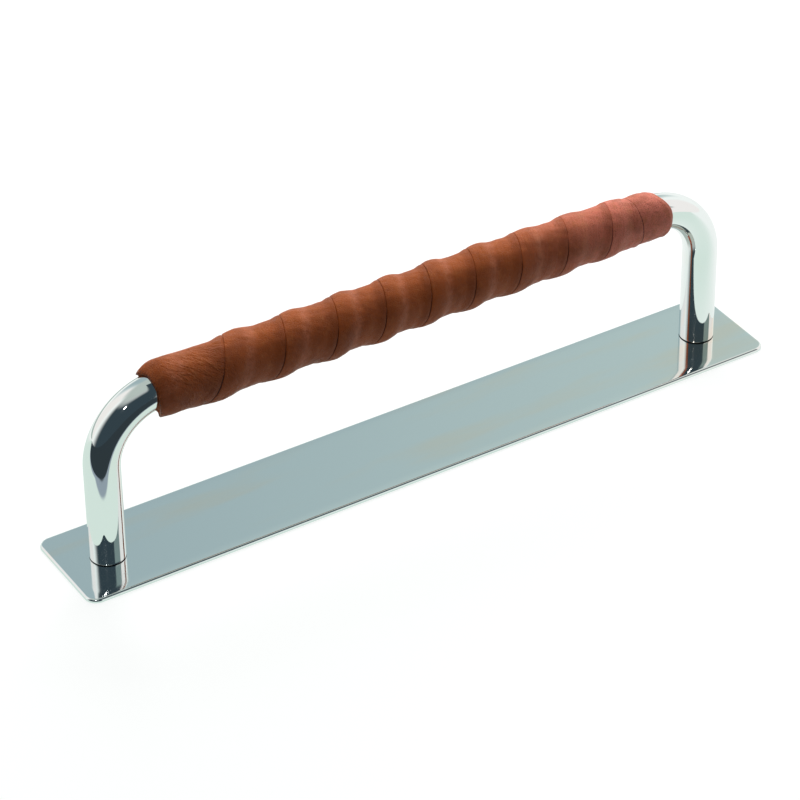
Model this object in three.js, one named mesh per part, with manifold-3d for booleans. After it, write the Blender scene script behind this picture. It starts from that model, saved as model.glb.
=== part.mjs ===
// Door pull: a round polished bar bent into a D, standing on a thin backplate, with a leather
// strap wound round its straight grip. Millimetres, +Z up.
// +X runs along the grip to the end where the strap finishes, -Y is the front long edge of the
// plate. The origin is the middle of the plate's back face, which lies on the door.

import * as THREE from 'three';
import { mergeVertices } from 'three/addons/utils/BufferGeometryUtils.js';
import { ParametricGeometry } from 'three/addons/geometries/ParametricGeometry.js';
import Module from 'manifold-3d';

// Backplate
const PLATE_OVERHANG = 13.5;      // from a post's axis to the plate's short edge
const PLATE_WIDTH = 31.5;
const PLATE_THICKNESS = 1.2;
const PLATE_CORNER_RADIUS = 3.5;
const PLATE_EDGE_BREAK = 0.12;    // small chamfer round both faces

// Bent bar
const POST_SPACING = 192;         // between the two posts' axes
const BAR_DIAMETER = 10;
const BEND_RADIUS = 18.5;         // to the bar's axis
const GRIP_HEIGHT = 47.5;         // from the plate's front face to the grip's axis

// Tapped hole in each foot, and the hole under it in the plate
const SCREW_DIAMETER = 5;
const TAP_DRILL_DIAMETER = 4.2;
const TAP_DEPTH = 14;
const DRILL_TIP_ANGLE = 118;      // degrees
const SCREW_CLEARANCE = 0.5;      // added to the screw's diameter in the plate

// Leather strap
const STRAP_THICKNESS = 2.15;
const STRAP_CLEARANCE = 0.3;      // between the bar and the strap's inner face
const STRAP_SAG = 0.25;           // how much lower than the bar the winding hangs
const STRAP_INTO_BEND = 4.2;      // how far each end reaches past the start of its bend
const START_EDGE_THICKNESS = 0.95; // the skived edge where the strap begins
const START_TAPER = 4;            // length over which that edge thickens
const FINISH_EDGE_THICKNESS = 0.75;
const PARING_START = 5;           // where along the bar the strap begins to get thinner
const PARING_DEPTH = 0.62;        // thickness lost by the last turn
const HUMP_LOSS = 0.4;            // share of the hump lost by the last turn
const BAND_WIDTH = 10.4;          // the square last turn, measured along the bar
const BAND_HUMP = 0.12;           // how far that turn stands above a single layer

// Helix of the seam, which is the upper edge of each turn
const TURN_LEAD = 14.65;          // seam to seam once the winding has settled
const FIRST_TURN_EXTRA = 14.7;    // added over the first turns
const SETTLING_TURNS = 0.65;
const START_ANGLE = 135;          // degrees over the top from the front, where the seam begins
const HAND_DRIFT = -0.5;          // uneven winding by hand
const DRIFT_TURNS = 4.75;

// Section of one turn, as shares of the lead that run on from its seam
const OVERLAP_HUMP = 0.86;        // how far two layers stand above one
const SEAM_LIP = 0.5;             // height of the upper edge at the seam
const SEAM_RISE = 0.45;           // height of the lower turn where it meets that edge
const SEAM_DEPTH = 0.4;           // groove at the seam, below the lip
const SEAM_HALF_WIDTH = 0.3;
const CREST_SHARE = 0.2;
const OVERLAP_SHARE = 0.55;
const RISE_SHARE = 0.82;          // where the lower turn starts to climb towards the next seam

// Fineness of the faceted surfaces
const BAR_SIDES = 32;
const BEND_STEPS = 10;
const GRIP_STEPS = 4;
const HOLE_SIDES = 24;
const CORNER_STEPS = 8;
const STRAP_SIDES = 32;
const STRAP_BORE_STEPS = 4;

// Sizes worked out from the ones above
const barRadius = BAR_DIAMETER / 2;
const halfSpacing = POST_SPACING / 2;
const halfGrip = halfSpacing - BEND_RADIUS;
const gripAxisZ = PLATE_THICKNESS + GRIP_HEIGHT;
const postHeight = GRIP_HEIGHT - BEND_RADIUS;
const strapHalfLength = halfGrip + STRAP_INTO_BEND;
const boreRadius = barRadius + STRAP_CLEARANCE;
const layerRadius = boreRadius + STRAP_THICKNESS;
const bandStart = strapHalfLength - BAND_WIDTH;

// Point on the bar's axis at a distance s from the middle of the grip, with the direction of
// the axis there and the outward normal that lies in the bar's plane.
function barAxis(s) {
  const side = Math.sign(s) || 1;
  const past = Math.max(Math.abs(s) - halfGrip, 0);
  const turn = Math.min(past / BEND_RADIUS, Math.PI / 2);
  const down = Math.max(past - BEND_RADIUS * Math.PI / 2, 0);
  const straight = Math.min(Math.abs(s), halfGrip);
  const x = side * (straight + BEND_RADIUS * Math.sin(turn));
  const z = gripAxisZ - BEND_RADIUS * (1 - Math.cos(turn)) - down;
  return {
    point: new THREE.Vector3(x, 0, z),
    tangent: new THREE.Vector3(Math.cos(turn), 0, -side * Math.sin(turn)),
    normal: new THREE.Vector3(side * Math.sin(turn), 0, Math.cos(turn)),
  };
}

// The distances s at which the bar gets a ring of vertices: few on the straights, many in the bends.
function barStations() {
  const bendLength = BEND_RADIUS * Math.PI / 2;
  const half = [];
  for (let i = 0; i <= GRIP_STEPS / 2; i++) half.push(halfGrip * i / (GRIP_STEPS / 2));
  for (let i = 1; i <= BEND_STEPS; i++) half.push(halfGrip + bendLength * i / BEND_STEPS);
  half.push(halfGrip + bendLength + postHeight);
  const left = half.slice(1).reverse().map((s) => -s);
  return left.concat(half);
}

// The bar's axis as a curve whose steps fall on the stations.
class BarCurve extends THREE.Curve {
  constructor() {
    super();
    this.stations = barStations();
  }

  distance(t) {
    const place = t * (this.stations.length - 1);
    const i = Math.min(Math.floor(place), this.stations.length - 2);
    return THREE.MathUtils.lerp(this.stations[i], this.stations[i + 1], place - i);
  }

  getPoint(t) {
    return barAxis(this.distance(t)).point;
  }

  getPointAt(t) {
    return this.getPoint(t);
  }

  getTangentAt(t) {
    return barAxis(this.distance(t)).tangent;
  }
}

// Merges shared vertices and drops the faces that collapse where the seam runs into an end.
function closedGeometry(geometry) {
  const bare = geometry.clone();
  bare.deleteAttribute('normal');
  bare.deleteAttribute('uv');
  const merged = mergeVertices(bare, 1e-4);
  const index = merged.index.array;
  const kept = [];
  for (let i = 0; i < index.length; i += 3) {
    const [a, b, c] = index.slice(i, i + 3);
    if (a !== b && b !== c && c !== a) kept.push(a, b, c);
  }
  merged.setIndex(kept);
  return merged;
}

const wasm = await Module();
wasm.setup();

function toSolid(geometry) {
  const merged = closedGeometry(geometry);
  return new wasm.Manifold(new wasm.Mesh({
    numProp: 3,
    vertProperties: new Float32Array(merged.attributes.position.array),
    triVerts: new Uint32Array(merged.index.array),
  }));
}

function toGeometry(solid) {
  const mesh = solid.getMesh();
  const geometry = new THREE.BufferGeometry();
  geometry.setAttribute('position', new THREE.BufferAttribute(mesh.vertProperties, 3));
  geometry.setIndex(new THREE.BufferAttribute(mesh.triVerts, 1));
  geometry.computeVertexNormals();
  return geometry;
}

function metal(color, roughness) {
  return new THREE.MeshStandardMaterial({ color, roughness, metalness: 1 });
}

// Backplate

function roundedRectangle(length, width, radius) {
  const x = length / 2;
  const y = width / 2;
  const shape = new THREE.Shape();
  shape.moveTo(-x + radius, -y);
  shape.lineTo(x - radius, -y);
  shape.absarc(x - radius, -y + radius, radius, -Math.PI / 2, 0);
  shape.lineTo(x, y - radius);
  shape.absarc(x - radius, y - radius, radius, 0, Math.PI / 2);
  shape.lineTo(-x + radius, y);
  shape.absarc(-x + radius, y - radius, radius, Math.PI / 2, Math.PI);
  shape.lineTo(-x, -y + radius);
  shape.absarc(-x + radius, -y + radius, radius, Math.PI, Math.PI * 1.5);
  return shape;
}

function makeBackplate() {
  const length = POST_SPACING + 2 * PLATE_OVERHANG;
  const shape = roundedRectangle(
    length - 2 * PLATE_EDGE_BREAK,
    PLATE_WIDTH - 2 * PLATE_EDGE_BREAK,
    PLATE_CORNER_RADIUS - PLATE_EDGE_BREAK,
  );
  const geometry = new THREE.ExtrudeGeometry(shape, {
    depth: PLATE_THICKNESS - 2 * PLATE_EDGE_BREAK,
    bevelEnabled: true,
    bevelThickness: PLATE_EDGE_BREAK,
    bevelSize: PLATE_EDGE_BREAK,
    bevelSegments: 1,
    curveSegments: CORNER_STEPS / 2,
  });
  geometry.translate(0, 0, PLATE_EDGE_BREAK);
  let solid = toSolid(geometry);
  const holeRadius = (SCREW_DIAMETER + SCREW_CLEARANCE) / 2;
  for (const side of [-1, 1]) {
    const hole = new THREE.CylinderGeometry(holeRadius, holeRadius, 3 * PLATE_THICKNESS, HOLE_SIDES);
    hole.rotateX(Math.PI / 2);
    hole.translate(side * halfSpacing, 0, PLATE_THICKNESS / 2);
    solid = solid.subtract(toSolid(hole));
  }
  return toGeometry(solid);
}

// Bent bar with a blind tapped hole in each foot

function drilledHole() {
  const radius = TAP_DRILL_DIAMETER / 2;
  const below = PLATE_THICKNESS;
  const tip = radius / Math.tan(THREE.MathUtils.degToRad(DRILL_TIP_ANGLE / 2));
  const profile = [
    new THREE.Vector2(0, -below),
    new THREE.Vector2(radius, -below),
    new THREE.Vector2(radius, TAP_DEPTH),
    new THREE.Vector2(0, TAP_DEPTH + tip),
  ];
  const hole = new THREE.LatheGeometry(profile, HOLE_SIDES);
  hole.rotateX(Math.PI / 2);
  return hole;
}

function makeHandleBar() {
  const curve = new BarCurve();
  const section = new THREE.Shape();
  section.absarc(0, 0, barRadius, 0, 2 * Math.PI);
  const bar = new THREE.ExtrudeGeometry(section, {
    extrudePath: curve,
    steps: curve.stations.length - 1,
    curveSegments: BAR_SIDES / 2,   // an arc is given two steps for each segment
  });
  let solid = toSolid(bar);
  for (const side of [-1, 1]) {
    const hole = drilledHole();
    hole.translate(side * halfSpacing, 0, PLATE_THICKNESS);
    solid = solid.subtract(toSolid(hole));
  }
  return toGeometry(solid);
}

// Leather strap, wound as a left-handed helix and finished with one square turn.
// Angles are measured round the bar from the front, over the top, towards the back.

// Distance along the bar of the seam after a number of turns from its start.
function seamPlace(turns) {
  const settled = FIRST_TURN_EXTRA * (1 - Math.exp(-Math.max(turns, 0) / SETTLING_TURNS));
  const drift = HAND_DRIFT * Math.sin(2 * Math.PI * turns / DRIFT_TURNS);
  return -strapHalfLength + TURN_LEAD * turns + settled + drift;
}

// How far the paring has gone at a distance along the bar: 0 up to its start, 1 at the last turn.
function pared(s) {
  return THREE.MathUtils.clamp((s - PARING_START) / (bandStart - PARING_START), 0, 1);
}

// Radius of a single layer of the strap.
function layerRadiusAt(s) {
  return layerRadius - PARING_DEPTH * pared(s) ** 3;
}

// Height of one turn above the single layer, at a share of the lead past its seam.
function turnHeight(share, hump) {
  if (share === 0) return SEAM_LIP - SEAM_DEPTH;
  if (share < CREST_SHARE) {
    const rise = Math.sin(Math.PI / 2 * share / CREST_SHARE);
    return THREE.MathUtils.lerp(SEAM_LIP, hump, rise);
  }
  if (share < OVERLAP_SHARE) {
    const fall = (share - CREST_SHARE) / (OVERLAP_SHARE - CREST_SHARE);
    return hump * Math.cos(Math.PI / 2 * fall) ** 2;
  }
  return SEAM_RISE * THREE.MathUtils.smoothstep(share, RISE_SHARE, 1 - SEAM_HALF_WIDTH / TURN_LEAD);
}

// Shares of the lead at which a turn gets a column of vertices, the seam's groove among them.
function turnShares() {
  const lip = SEAM_HALF_WIDTH / TURN_LEAD;
  const fall = OVERLAP_SHARE - CREST_SHARE;
  return [
    0,
    lip,
    CREST_SHARE / 2,
    CREST_SHARE,
    CREST_SHARE + fall / 3,
    CREST_SHARE + fall * 2 / 3,
    OVERLAP_SHARE,
    RISE_SHARE,
    (RISE_SHARE + 1 - lip) / 2,
    1 - lip,
  ];
}

// A column on the helix: its place moves along the bar with the angle, and its height fades
// into the start's skived edge and into the groove beside the square last turn.
function helixColumn(turn, share) {
  const startRadius = boreRadius + START_EDGE_THICKNESS;
  const finishRadius = layerRadiusAt(bandStart) - SEAM_DEPTH / 2;
  return (angle) => {
    const turns = turn + share + (angle - START_ANGLE) / 360;
    const s = THREE.MathUtils.clamp(seamPlace(turns), -strapHalfLength, bandStart);
    const hump = OVERLAP_HUMP * (1 - HUMP_LOSS * pared(s));
    const body = layerRadiusAt(s) + turnHeight(share, hump);
    const thicken = Math.min((s + strapHalfLength) / START_TAPER, 1);
    const sink = Math.min((bandStart - s) / SEAM_HALF_WIDTH, 1);
    const tapered = THREE.MathUtils.lerp(startRadius, body, Math.sin(Math.PI / 2 * thicken));
    return { s, radius: THREE.MathUtils.lerp(finishRadius, tapered, sink), sag: STRAP_SAG };
  };
}

// The square last turn, which rolls over to the bar at its outer edge.
function bandColumns() {
  const bandRadius = layerRadiusAt(bandStart) + BAND_HUMP;
  const edgeRadius = boreRadius + FINISH_EDGE_THICKNESS;
  const roll = bandRadius - edgeRadius;
  const columns = [
    [bandStart + SEAM_HALF_WIDTH, bandRadius - BAND_HUMP / 2],
    [bandStart + BAND_WIDTH / 4, bandRadius],
    [strapHalfLength - 2 * roll, bandRadius],
  ];
  for (const degrees of [35, 65, 90]) {
    const a = THREE.MathUtils.degToRad(degrees);
    const s = strapHalfLength - 2 * roll * (1 - Math.sin(a));
    columns.push([s, edgeRadius + roll * Math.cos(a)]);
  }
  return columns.map(([s, radius]) => () => ({ s, radius, sag: STRAP_SAG }));
}

function boreColumns() {
  const columns = [];
  const places = [strapHalfLength, halfGrip + STRAP_INTO_BEND / 2];
  for (let i = 0; i <= STRAP_BORE_STEPS; i++) {
    places.push(halfGrip * (1 - 2 * i / STRAP_BORE_STEPS));
  }
  places.push(-halfGrip - STRAP_INTO_BEND / 2, -strapHalfLength);
  for (const s of places) columns.push(() => ({ s, radius: boreRadius, sag: 0 }));
  return columns;
}

function strapColumns() {
  const columns = [];
  const turnsAtBand = Math.ceil((bandStart + strapHalfLength) / TURN_LEAD) + 1;
  for (let turn = -1; turn < turnsAtBand; turn++) {
    for (const share of turnShares()) columns.push(helixColumn(turn, share));
  }
  columns.push(...bandColumns(), ...boreColumns());
  columns.push(columns[0]);
  return columns;
}

function makeLeatherStrap() {
  const columns = strapColumns();
  const surface = (u, v, target) => {
    const column = columns[Math.round(u * (columns.length - 1))];
    const angle = v * 360;
    const { s, radius, sag } = column(angle);
    const { point, normal } = barAxis(s);
    const a = THREE.MathUtils.degToRad(angle);
    target.copy(point).addScaledVector(normal, radius * Math.sin(a) - sag);
    target.y -= radius * Math.cos(a);
  };
  return closedGeometry(new ParametricGeometry(surface, columns.length - 1, STRAP_SIDES));
}

const leather = new THREE.MeshStandardMaterial({ color: 0xa3562c, roughness: 0.6, metalness: 0 });

function part(name, geometry, material) {
  const mesh = new THREE.Mesh(geometry, material);
  mesh.name = name;
  return mesh;
}

const doorPull = new THREE.Group();
doorPull.add(part('backplate', makeBackplate(), metal(0xb9c2c4, 0.06)));
doorPull.add(part('handle_bar', makeHandleBar(), metal(0xd4dadb, 0.05)));
doorPull.add(part('leather_strap', makeLeatherStrap(), leather));

export default doorPull;
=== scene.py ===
# %% [markdown]
# # A door pull: a bent polished bar, a thin backplate and a leather grip
# The pull is three pieces: a round bar bent into a D, the plate it stands on, and a strap of tan
# leather wound round the grip. The frame holds their sizes. Here each one gets a fine mesh that
# lies where its plain solid lies, and the finish of the real material.

# %% The frame
import bmesh
import bpy
import numpy as np
from mathutils import Matrix, Vector


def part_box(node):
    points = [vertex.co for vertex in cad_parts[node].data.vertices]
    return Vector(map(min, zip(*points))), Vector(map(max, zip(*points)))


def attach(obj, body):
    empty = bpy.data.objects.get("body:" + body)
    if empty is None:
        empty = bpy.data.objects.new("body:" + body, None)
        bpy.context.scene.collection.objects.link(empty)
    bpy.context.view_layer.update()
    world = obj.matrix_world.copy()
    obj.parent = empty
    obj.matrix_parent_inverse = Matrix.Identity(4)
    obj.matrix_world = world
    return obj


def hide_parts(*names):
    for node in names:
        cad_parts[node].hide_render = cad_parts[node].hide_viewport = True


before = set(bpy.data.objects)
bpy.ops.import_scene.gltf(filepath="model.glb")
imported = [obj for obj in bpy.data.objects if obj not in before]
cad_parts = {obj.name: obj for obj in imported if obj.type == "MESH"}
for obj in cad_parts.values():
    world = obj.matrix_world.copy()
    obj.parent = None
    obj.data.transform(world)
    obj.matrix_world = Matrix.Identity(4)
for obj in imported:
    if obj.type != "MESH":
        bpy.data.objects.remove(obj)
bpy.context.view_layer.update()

# %% [markdown]
# ## Sizes
# Blender works in metres, so one millimetre is a named value and every size is written with it.
# What the frame can tell, such as the bar's width and the height of the grip, is read from the
# boxes of its solids, so that the fine pieces fit them.

# %% Sizes shared by the pieces
MM = 0.001

plate_low, plate_high = (np.array(corner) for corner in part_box("backplate"))
_, bar_high = (np.array(corner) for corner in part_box("handle_bar"))

BAR_RADIUS = 5 * MM
BEND_RADIUS = 18.5 * MM
plate_top = plate_high[2]
half_spacing = bar_high[0] - BAR_RADIUS
half_grip = half_spacing - BEND_RADIUS
grip_z = bar_high[2] - BAR_RADIUS
print("grip axis at", round(grip_z / MM, 2), "mm")
print("posts", round(2 * half_spacing / MM, 2), "mm apart")

# %% [markdown]
# ## Surfaces from arrays
# Every piece here is a grid of points worked out with numpy: one direction runs along the piece
# and the other runs round it. One helper turns such a grid into a mesh. It can close the grid in
# either direction, and it merges points that fall together, such as the pole of a drilled hole.

# %% Helpers for grids
def grid_faces(rows, columns, close_rows, close_columns):
    """Quads of a grid: each joins a point to its neighbour in the row, then to the two in the
    next row. A closed direction counts its last line as the neighbour of its first."""
    i = np.arange(rows if close_rows else rows - 1)
    j = np.arange(columns if close_columns else columns - 1)
    i, j = np.meshgrid(i, j, indexing="ij")
    next_i = (i + 1) % rows
    next_j = (j + 1) % columns
    corners = [
        i * columns + j, next_i * columns + j, next_i * columns + next_j, i * columns + next_j]
    return np.stack(corners, axis=-1).reshape(-1, 4)


def mesh_from_grid(name, points, close_rows=False, close_columns=True, merge=1e-7, values=None):
    """Builds an object from points of shape (rows, columns, 3), welds points that coincide and
    turns all faces outwards. Values are named arrays, one number for each point, which the
    materials can read."""
    rows, columns, _ = points.shape
    mesh = bpy.data.meshes.new(name)
    faces = grid_faces(rows, columns, close_rows, close_columns)
    mesh.from_pydata(points.reshape(-1, 3), [], faces)
    for label, numbers in (values or {}).items():
        layer = mesh.attributes.new(label, "FLOAT", "POINT")
        layer.data.foreach_set("value", numbers.astype(np.float32).reshape(-1))
    work = bmesh.new()
    work.from_mesh(mesh)
    bmesh.ops.remove_doubles(work, verts=work.verts, dist=merge)
    bmesh.ops.recalc_face_normals(work, faces=work.faces)
    for face in work.faces:
        face.smooth = True
    work.to_mesh(mesh)
    work.free()
    piece = bpy.data.objects.new(name, mesh)
    bpy.context.collection.objects.link(piece)
    print(name, len(mesh.vertices), "points,", len(mesh.polygons), "faces")
    return piece


# %% [markdown]
# Bar and strap follow the same bent axis. Two functions give points by the distance along it and
# the angle round it.

# %% The axis of the bar
def bar_axis(s):
    """Point on the bar's axis at a distance s from the middle of the grip, and the outward normal
    in the bar's plane. The axis is straight as far as the bend, then a quarter circle, then
    straight down."""
    s = np.asarray(s, dtype=float)
    side = np.where(s < 0, -1.0, 1.0)
    past = np.maximum(np.abs(s) - half_grip, 0)
    turn = np.minimum(past / BEND_RADIUS, np.pi / 2)
    down = np.maximum(past - BEND_RADIUS * np.pi / 2, 0)
    x = side * (np.minimum(np.abs(s), half_grip) + BEND_RADIUS * np.sin(turn))
    z = grip_z - BEND_RADIUS * (1 - np.cos(turn)) - down
    zero = np.zeros_like(x)
    point = np.stack([x, zero, z], axis=-1)
    normal = np.stack([side * np.sin(turn), zero, np.cos(turn)], axis=-1)
    return point, normal


def round_bar(s, radius, angle):
    """Points at a radius from the bar's axis. The angle starts at the front, -Y, and goes over
    the top: point = axis + radius * (sine of angle * normal - cosine of angle * Y)."""
    point, normal = bar_axis(s)
    sine = (radius * np.sin(angle))[..., None]
    cosine = (radius * np.cos(angle))[..., None]
    return point + sine * normal - cosine * np.array([0.0, 1.0, 0.0])


print("the bends start", round(half_grip / MM, 2), "mm from the middle of the grip")

# %% [markdown]
# ## The bent bar
# The real bar is turned, bent cold and polished until it mirrors the room. A curve object with a
# round bevel could make it, but a mirror shows every facet. Rings carried along the axis give
# control of their spacing: they stand close in the bends and at the rounded edge of each foot.
# The same list of rings runs on into the drilled hole of the foot, so bar and holes are one
# closed surface.

# %% Rings of the bar
FOOT_EDGE = 0.40 * MM
HOLE_RADIUS = 2.1 * MM
HOLE_DEPTH = 14 * MM
DRILL_HALF_ANGLE = 59
DRILL_TIP = HOLE_RADIUS / np.tan(np.radians(DRILL_HALF_ANGLE))
BAR_SIDES = 160
BEND_RINGS = 72


def foot_rings(foot):
    """Distance and radius of the rings at one foot, from the tip of the drilled hole out to the
    bar's side: the hole, the flat sole, and a quarter round of FOOT_EDGE."""
    edge = np.radians(np.linspace(0, 90, 7))
    hole_s = [foot - HOLE_DEPTH - DRILL_TIP, foot - HOLE_DEPTH, foot, foot]
    hole_r = [0.0, HOLE_RADIUS, HOLE_RADIUS, (HOLE_RADIUS + BAR_RADIUS) / 2]
    edge_s = foot - FOOT_EDGE * (1 - np.cos(edge))
    edge_r = BAR_RADIUS - FOOT_EDGE * (1 - np.sin(edge))
    return np.concatenate([hole_s, edge_s]), np.concatenate([hole_r, edge_r])


def make_bar():
    """The bar as rings in one list: a foot with its hole, the body, and the other foot."""
    bend = BEND_RADIUS * np.pi / 2
    foot = half_grip + bend + (grip_z - BEND_RADIUS - plate_top)
    end_s, end_r = foot_rings(foot)
    body_s = np.concatenate([
        np.linspace(-foot + 2 * FOOT_EDGE, -half_grip - bend, 8),
        np.linspace(-half_grip - bend, -half_grip, BEND_RINGS)[1:],
        np.linspace(-half_grip, half_grip, 24)[1:],
        np.linspace(half_grip, half_grip + bend, BEND_RINGS)[1:],
        np.linspace(half_grip + bend, foot - 2 * FOOT_EDGE, 8)[1:],
    ])
    s = np.concatenate([-end_s, body_s, end_s[::-1]])
    r = np.concatenate([end_r, np.full(body_s.shape, BAR_RADIUS), end_r[::-1]])
    angle = np.linspace(0, 2 * np.pi, BAR_SIDES, endpoint=False)
    s_grid, angle_grid = np.meshgrid(s, angle, indexing="ij")
    r_grid = np.repeat(r[:, None], BAR_SIDES, axis=1)
    return mesh_from_grid("bent_bar", round_bar(s_grid, r_grid, angle_grid))


bent_bar = make_bar()

# %% [markdown]
# ## The backplate
# The plate is sheet metal, cut with rounded corners and polished like the bar. Its edge is the
# part that shows: polishing rounds it, and lets the face fall off by a tenth of a millimetre just
# before it, so that mirrored posts bend there and one thin dark line runs along the front. A cube
# with a Bevel modifier would round the edge but keep the face dead flat, so here an edge profile
# is carried round the outline. The two screw holes are cut with a Boolean modifier, which is
# applied at once.

# %% Outline and edge of the plate
CORNER_RADIUS = 3.5 * MM
PLATE_ROUND = 0.8 * MM
ROLL_WIDTH = 2.4 * MM
ROLL_DROP = 0.10 * MM
BACK_ROUND = 0.12 * MM
SCREW_HOLE_RADIUS = 2.75 * MM
FLAT_RIM = 0.1 * MM
CORNER_POINTS = 24
CUTTER_SIDES = 96


def rounded_outline(inset):
    """The plate's outline moved inwards by inset: four quarter circles joined by straight
    lines, anticlockwise seen from above."""
    half = (plate_high[:2] - plate_low[:2]) / 2 - CORNER_RADIUS
    centre = (plate_high[:2] + plate_low[:2]) / 2
    radius = CORNER_RADIUS - inset
    points = []
    for start, sx, sy in ((180, -1, -1), (270, 1, -1), (0, 1, 1), (90, -1, 1)):
        a = np.radians(np.linspace(start, start + 90, CORNER_POINTS))
        x = centre[0] + sx * half[0] + radius * np.cos(a)
        y = centre[1] + sy * half[1] + radius * np.sin(a)
        points.append(np.stack([x, y], axis=-1))
    return np.concatenate(points)


def edge_profile():
    """Inset and height of each line of the edge, from the back face up to the front face: a
    quarter round of BACK_ROUND, the upright side, a quarter round of PLATE_ROUND, and the slope
    that polishing leaves, a parabola that ends level."""
    a = np.radians(np.linspace(0, 90, 9))
    back_inset = BACK_ROUND * (1 - np.sin(a))
    back_z = plate_low[2] + BACK_ROUND * (1 - np.cos(a))
    front_inset = PLATE_ROUND * (1 - np.cos(a))
    front_z = plate_top - ROLL_DROP - PLATE_ROUND * (1 - np.sin(a))
    roll = np.linspace(0, 1, 15)[1:]
    front_inset = np.concatenate([front_inset, PLATE_ROUND + ROLL_WIDTH * roll])
    front_z = np.concatenate([front_z, plate_top - ROLL_DROP * (1 - roll) ** 2])
    inset = np.concatenate([
        [back_inset[0] + FLAT_RIM], back_inset, front_inset, [front_inset[-1] + FLAT_RIM]])
    z = np.concatenate([[back_z[0]], back_z, front_z, [front_z[-1]]])
    return inset, z


def cylinder_cutter(x, radius, low, high):
    """A closed drum on a Z axis at x, as rings: centre, rim, rim, centre."""
    ring_r = np.array([0.0, radius, radius, 0.0])[:, None]
    ring_z = np.array([low, low, high, high])[:, None]
    angle = np.linspace(0, 2 * np.pi, CUTTER_SIDES, endpoint=False)[None, :]
    points = np.stack([
        x + ring_r * np.cos(angle),
        ring_r * np.sin(angle),
        ring_z + 0 * angle,
    ], axis=-1)
    return mesh_from_grid("cutter", points)


def subtract(piece, cutter):
    """Cuts the cutter out of the piece, keeps the result as the piece's mesh and removes the
    cutter."""
    boolean = piece.modifiers.new("hole", "BOOLEAN")
    boolean.operation = "DIFFERENCE"
    boolean.solver = "EXACT"
    boolean.object = cutter
    bpy.context.view_layer.update()
    evaluated = piece.evaluated_get(bpy.context.evaluated_depsgraph_get())
    cut = bpy.data.meshes.new_from_object(evaluated)
    piece.modifiers.clear()
    piece.data = cut
    bpy.data.objects.remove(cutter)


def make_plate():
    """The plate as lines of its edge profile, closed by two flat faces, with its screw holes."""
    inset, z = edge_profile()
    points = np.array([
        np.column_stack([rounded_outline(i), np.full(4 * CORNER_POINTS, height)])
        for i, height in zip(inset, z)
    ])
    rows, columns, _ = points.shape
    faces = grid_faces(rows, columns, False, True).tolist()
    faces.append(list(range(columns))[::-1])
    faces.append([(rows - 1) * columns + i for i in range(columns)])
    mesh = bpy.data.meshes.new("polished_plate")
    mesh.from_pydata(points.reshape(-1, 3), [], faces)
    work = bmesh.new()
    work.from_mesh(mesh)
    bmesh.ops.recalc_face_normals(work, faces=work.faces)
    for face in work.faces:
        face.smooth = len(face.verts) == 4
    work.to_mesh(mesh)
    work.free()
    plate = bpy.data.objects.new("polished_plate", mesh)
    bpy.context.collection.objects.link(plate)
    for x in (-half_spacing, half_spacing):
        subtract(plate, cylinder_cutter(x, SCREW_HOLE_RADIUS, plate_low[2] - MM, plate_top + MM))
    print("polished_plate", len(plate.data.vertices), "points,", len(plate.data.polygons), "faces")
    return plate


polished_plate = make_plate()

# %% [markdown]
# ## The wound strap
# One long strap of leather, its edges pared thin, is wound round the bar so that each turn lies
# on the edge of the turn before. What shows is one skin with a helical step in it: a fine dark
# seam, a soft hump where two layers lie on each other, and a flat stretch where there is one.
# A spiral modifier could carry a profile, but it can't end squarely on the bar. Here the skin is
# a grid whose columns run along the helix. A column is known by its place in the turn, its share
# of the lead past the seam. At both ends the columns are held at the end's plane, where they fall
# together and are merged.

# %% Sizes of the strap
STRAP_THICKNESS = 2.15 * MM
STRAP_CLEARANCE = 0.3 * MM
STRAP_SAG = 0.25 * MM
STRAP_INTO_BEND = 4.2 * MM
PARING_START = 5 * MM
PARING_DEPTH = 0.62 * MM
HUMP_LOSS = 0.4
BAND_WIDTH = 10.4 * MM
BAND_HUMP = 0.12 * MM
TURN_LEAD = 14.65 * MM
FIRST_TURN_EXTRA = 14.7 * MM
FIRST_HUMP_TURNS = 0.6
SETTLING_TURNS = 0.65
START_TURN_ANGLE = 135
HAND_DRIFT = -0.5 * MM
DRIFT_TURNS = 4.75
OVERLAP_HUMP = 0.88 * MM
SEAM_LIP = 0.52 * MM
SEAM_RISE = 0.45 * MM
SEAM_DEPTH = 0.30 * MM
CREST_SHARE = 0.2
OVERLAP_SHARE = 0.55
RISE_SHARE = 0.80
START_TAPER = 4.5 * MM
LIP_THICKNESS = 0.35 * MM
LIP_LENGTH = 3 * MM
TUCK_LENGTH = 1.3 * MM  # before the band, where the last turn slips under it
SINK_LENGTH = 0.12 * MM  # width of the dark line at the band's seam
BAND_ROLL = 4.2 * MM
RIDGE_HEIGHT = 0.10 * MM
RIDGE_PLACE = 1.3 * MM
RIDGE_WIDTH = 0.35 * MM
LATE_SAG = 0.32 * MM
LATE_SAG_START = 60 * MM
LATE_SAG_LENGTH = 8 * MM
DENT_DEPTH, DENT_SIZE = 0.06 * MM, 9 * MM
FINE_DENT_DEPTH, FINE_DENT_SIZE = 0.03 * MM, 2.6 * MM
CALM_ENDS = 2 * MM

strap_end = half_grip + STRAP_INTO_BEND
bore_radius = BAR_RADIUS + STRAP_CLEARANCE
layer_radius = bore_radius + STRAP_THICKNESS
band_radius = layer_radius - PARING_DEPTH
band_start = strap_end - BAND_WIDTH
print("strap reaches", round(strap_end / MM, 2), "mm from the middle, one layer lies at radius",
      round(layer_radius / MM, 2), "mm")


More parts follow.
